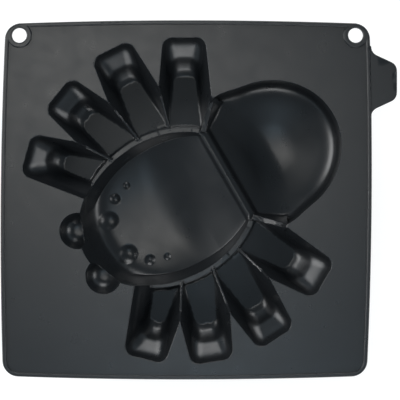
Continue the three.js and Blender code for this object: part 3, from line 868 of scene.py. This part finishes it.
def in_oval(form, u, v, grow):
    return oval_inset(form, u, v, grow) > 0


def regions(x, y):
    """Name of the piece that each point belongs to, the first to claim it; "outside" where there is none."""
    u, v = to_spider(x, y)
    names = np.full(x.shape, "", dtype="U32")

    def claim(name, where):
        names[where & (names == "")] = name

    inset = sheet_inset(x, y)
    claim("outside", (inset < 0) & ~inside_polygon(TAB, x, y))
    claim("pull_tab", inset < 0)
    for side in EYELET_SIDES:
        claim("outside", disc_inset(x, y, side, EYELET_HOLE) > 0)
    claim("rim_bead", inset <= RIM_WIDTH)
    for name, side in SIDES.items():
        claim(f"hanging_eyelet_{name}", disc_inset(x, y, -side, EYELET_RADIUS) > 0)
    for name, side in SIDES.items():
        for eye in EYES:
            cup = np.hypot(u - eye.u, v - side * eye.v) < eye.radius + EYE_LIP
            claim(f"eye_cup_{name}_{eye.name}", cup)
    for name, fang in FANGS.items():
        claim(f"fang_pocket_{name}", in_oval(fang, u, v, LIP))
    claim("thorax_pocket", in_oval(RING, u, v, WALL) & (u < WAIST))
    angle = np.degrees(np.arctan2(v, u))
    ends = [border.angle for border in BORDERS] + [HEAD_END]
    for name, side in SIDES.items():
        for leg, low, high in zip(LEGS, ends, ends[1:]):
            along, across = turn_by(side * leg.angle, u, v)
            outline = (leg_inset(leg, along, across, LIP) > 0) & (along > 0)
            claim(f"leg_pocket_{name}_{leg.name}", outline & (side * angle > low) & (side * angle < high))
    abdomen = in_oval(ABDOMEN, u, v, LIP)
    for side, shoulder in SHOULDERS.items():
        abdomen |= in_oval(shoulder, u, v, LIP)
        along, across = turn_by(side * ABDOMEN_BORDER, u, v)
        abdomen |= (np.abs(across) < RIDGE_BAR / 2) & (along > FLANK_ROOT) & (along < FLANK_END)
    claim("abdomen_pocket", abdomen)
    claim("thorax_pocket", in_oval(THORAX, u, v, LIP))
    claim("flange_sheet", np.ones(x.shape, bool))
    return names


# Pieces

def lift(surface, points, facing):
    """Heights and normals of a skin over plan points."""
    x, y = points.T
    step = SLOPE_STEP
    rise_x = (surface(x + step, y) - surface(x - step, y)) / (2 * step)
    rise_y = (surface(x, y + step) - surface(x, y - step)) / (2 * step)
    normals = facing * np.stack([-rise_x, -rise_y, np.ones(x.shape)], 1)
    return surface(x, y), normals / np.linalg.norm(normals, axis=1)[:, None]


def make_piece(name, points, faces, skins):
    """A closed piece between its upper and its under skin, with walls down its borders."""
    used, local = np.unique(faces, return_inverse=True)
    faces = local.reshape(-1, 3)
    plan = points[used]
    count = len(used)
    (top, top_normals), (low, low_normals) = (
        (heights[used], normals[used]) for heights, normals in skins)
    sides = np.concatenate([faces[:, [0, 1]], faces[:, [1, 2]], faces[:, [2, 0]]])
    known = set(map(tuple, sides.tolist()))
    rim = np.array([e for e in sides.tolist() if (e[1], e[0]) not in known])
    verts = np.concatenate([np.column_stack([plan, top]), np.column_stack([plan, low])])
    walls = np.column_stack([rim[:, 0] + count, rim[:, 1] + count, rim[:, 1], rim[:, 0]])
    ahead = plan[rim[:, 1]] - plan[rim[:, 0]]
    outward = np.column_stack([ahead[:, 1], -ahead[:, 0], np.zeros(len(rim))])
    outward /= np.linalg.norm(outward, axis=1)[:, None]
    mesh = bpy.data.meshes.new(name)
    mesh.from_pydata((verts * METRE).tolist(), [],
                     faces.tolist() + (faces[:, ::-1] + count).tolist() + walls.tolist())
    mesh.polygons.foreach_set("use_smooth", np.ones(len(mesh.polygons), bool))
    loops = np.concatenate([top_normals[faces].reshape(-1, 3), low_normals[faces[:, ::-1]].reshape(-1, 3),
                            np.repeat(outward, 4, 0)])
    mesh.normals_split_custom_set(loops.tolist())
    piece = bpy.data.objects.new(name, mesh)
    bpy.context.scene.collection.objects.link(piece)
    return piece


def build_mould(material):
    """One piece for each of the frame's nodes."""
    plan = Plan()
    draw_borders(plan)
    add_edge_rows(plan)
    add_form_rows(plan)
    add_rim_rows(plan)
    add_grid(plan)
    points, faces = triangulate(plan)
    names = regions(*points[faces].mean(1).T)
    surfaces = {"rim_bead": (upper_rim, lower_rim), "pull_tab": (upper_tab, lower_tab)}
    for side in SIDES:
        surfaces[f"hanging_eyelet_{side}"] = surfaces["rim_bead"]
    made = {}
    for node in sorted(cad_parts):
        pair = surfaces.get(node, (upper_sheet, lower_sheet))
        if pair not in made:
            made[pair] = [lift(pair[0], points, 1), lift(pair[1], points, -1)]
        piece = make_piece("dressed_" + node, points, faces[names == node], made[pair])
        piece.data.materials.append(material)
        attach(piece, "root")
        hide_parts(node)


# Material

def silicone():
    """Black silicone with slight clouds of colour and gloss and a fine grain."""
    material = bpy.data.materials.new("silicone")
    material.use_nodes = True
    nodes, links = material.node_tree.nodes, material.node_tree.links
    shader = nodes["Principled BSDF"]
    shader.inputs["IOR"].default_value = SILICONE_IOR
    place = nodes.new("ShaderNodeTexCoord")

    def noise(scale, detail, low=0, high=1):
        field = nodes.new("ShaderNodeTexNoise")
        field.inputs["Scale"].default_value = scale
        field.inputs["Detail"].default_value = detail
        links.new(place.outputs["Object"], field.inputs["Vector"])
        spread = nodes.new("ShaderNodeMapRange")
        spread.inputs["From Min"].default_value = NOISE_RANGE[0]
        spread.inputs["From Max"].default_value = NOISE_RANGE[1]
        spread.inputs["To Min"].default_value = low
        spread.inputs["To Max"].default_value = high
        links.new(field.outputs["Fac"], spread.inputs["Value"])
        return spread.outputs["Result"]

    shades = nodes.new("ShaderNodeMix")
    shades.data_type = "RGBA"
    shades.inputs[MIX_FIRST].default_value = SHADES[0]
    shades.inputs[MIX_SECOND].default_value = SHADES[1]
    links.new(noise(*SHADE_NOISE), shades.inputs[MIX_FACTOR])
    links.new(shades.outputs[MIX_RESULT], shader.inputs["Base Color"])
    links.new(noise(*ROUGH_NOISE, *ROUGHNESS), shader.inputs["Roughness"])
    grain = nodes.new("ShaderNodeBump")
    grain.inputs["Strength"].default_value = GRAIN_STRENGTH
    grain.inputs["Distance"].default_value = GRAIN_HEIGHT
    links.new(noise(*GRAIN_NOISE), grain.inputs["Height"])
    links.new(grain.outputs["Normal"], shader.inputs["Normal"])
    return material


# Stage

def make_floor():
    """A floor that the camera and reflections see as white, and that scatters plain light otherwise."""
    mesh = bpy.data.meshes.new("floor")
    corners = [(sx * FLOOR_HALF, sy * FLOOR_HALF, 0) for sx, sy in ((-1, -1), (1, -1), (1, 1), (-1, 1))]
    mesh.from_pydata(corners, [], [(0, 1, 2, 3)])
    floor = bpy.data.objects.new("floor", mesh)
    bpy.context.scene.collection.objects.link(floor)
    material = bpy.data.materials.new("floor")
    material.use_nodes = True
    nodes, links = material.node_tree.nodes, material.node_tree.links
    nodes.clear()
    path = nodes.new("ShaderNodeLightPath")

    def either(first, second):
        higher = nodes.new("ShaderNodeMath")
        higher.operation = "MAXIMUM"
        links.new(first, higher.inputs[0])
        links.new(second, higher.inputs[1])
        return higher.outputs[0]

    shaded = nodes.new("ShaderNodeBsdfDiffuse")
    shaded.inputs["Color"].default_value = FLOOR_SEEN
    glow = nodes.new("ShaderNodeEmission")
    glow.inputs["Strength"].default_value = FLOOR_GLOW
    white = nodes.new("ShaderNodeAddShader")
    links.new(shaded.outputs[0], white.inputs[0])
    links.new(glow.outputs[0], white.inputs[1])
    plain = nodes.new("ShaderNodeBsdfDiffuse")
    plain.inputs["Color"].default_value = FLOOR_BOUNCE
    mirrored = either(path.outputs["Is Glossy Ray"], path.outputs["Is Transmission Ray"])
    choose = nodes.new("ShaderNodeMixShader")
    links.new(either(path.outputs["Is Camera Ray"], mirrored), choose.inputs[0])
    links.new(plain.outputs[0], choose.inputs[1])
    links.new(white.outputs[0], choose.inputs[2])
    out = nodes.new("ShaderNodeOutputMaterial")
    links.new(choose.outputs[0], out.inputs["Surface"])
    mesh.materials.append(material)


def make_world():
    """A pale tent: light near the horizon and dim overhead, where the lamps hang."""
    world = bpy.data.worlds.new("studio")
    world.use_nodes = True
    bpy.context.scene.world = world
    nodes, links = world.node_tree.nodes, world.node_tree.links
    background = nodes["Background"]
    background.inputs["Color"].default_value = TENT_COLOUR
    place = nodes.new("ShaderNodeTexCoord")
    split = nodes.new("ShaderNodeSeparateXYZ")
    level = nodes.new("ShaderNodeMapRange")
    level.interpolation_type = "SMOOTHSTEP"
    level.inputs["From Min"].default_value = math.sin(TENT_TOP[0])
    level.inputs["From Max"].default_value = math.sin(TENT_TOP[1])
    level.inputs["To Min"].default_value = TENT_PALE
    level.inputs["To Max"].default_value = TENT_DIM
    links.new(place.outputs["Generated"], split.inputs[0])
    links.new(split.outputs["Z"], level.inputs["Value"])
    links.new(level.outputs["Result"], background.inputs["Strength"])


def hang_lamp(lamp):
    """A flat soft lamp that faces the mould; its power follows from its radiance and its area."""
    light = bpy.data.lights.new(lamp.name, "AREA")
    light.shape = "RECTANGLE" if lamp.size[0] != lamp.size[1] else "DISK"
    light.size, light.size_y = lamp.size
    light.color = lamp.tint
    area = lamp.size[0] * lamp.size[1] * (math.pi / 4 if light.shape == "DISK" else 1)
    light.energy = lamp.radiance * math.pi * area
    box = bpy.data.objects.new(lamp.name, light)
    a, e = math.radians(lamp.azimuth), math.radians(lamp.elevation)
    direction = Vector((math.cos(a) * math.cos(e), math.sin(a) * math.cos(e), math.sin(e)))
    box.location = Vector((0, 0, TOP * METRE)) + lamp.away * direction
    box.rotation_euler = direction.to_track_quat("Z", "Y").to_euler()
    bpy.context.scene.collection.objects.link(box)


def make_camera():
    """A long lens straight above the sheet."""
    camera = bpy.data.cameras.new("camera")
    camera.lens = LENS
    camera.sensor_width = SENSOR
    away = PHOTO_PIXELS * PIXEL * LENS / SENSOR
    seen = bpy.data.objects.new("camera", camera)
    seen.location = Vector((*CAMERA_AT, TOP + away)) * METRE
    bpy.context.scene.collection.objects.link(seen)
    bpy.context.scene.camera = seen


bpy.context.scene.view_settings.view_transform = "Standard"
make_camera()
make_floor()
make_world()
for lamp in LAMPS:
    hang_lamp(lamp)
build_mould(silicone())
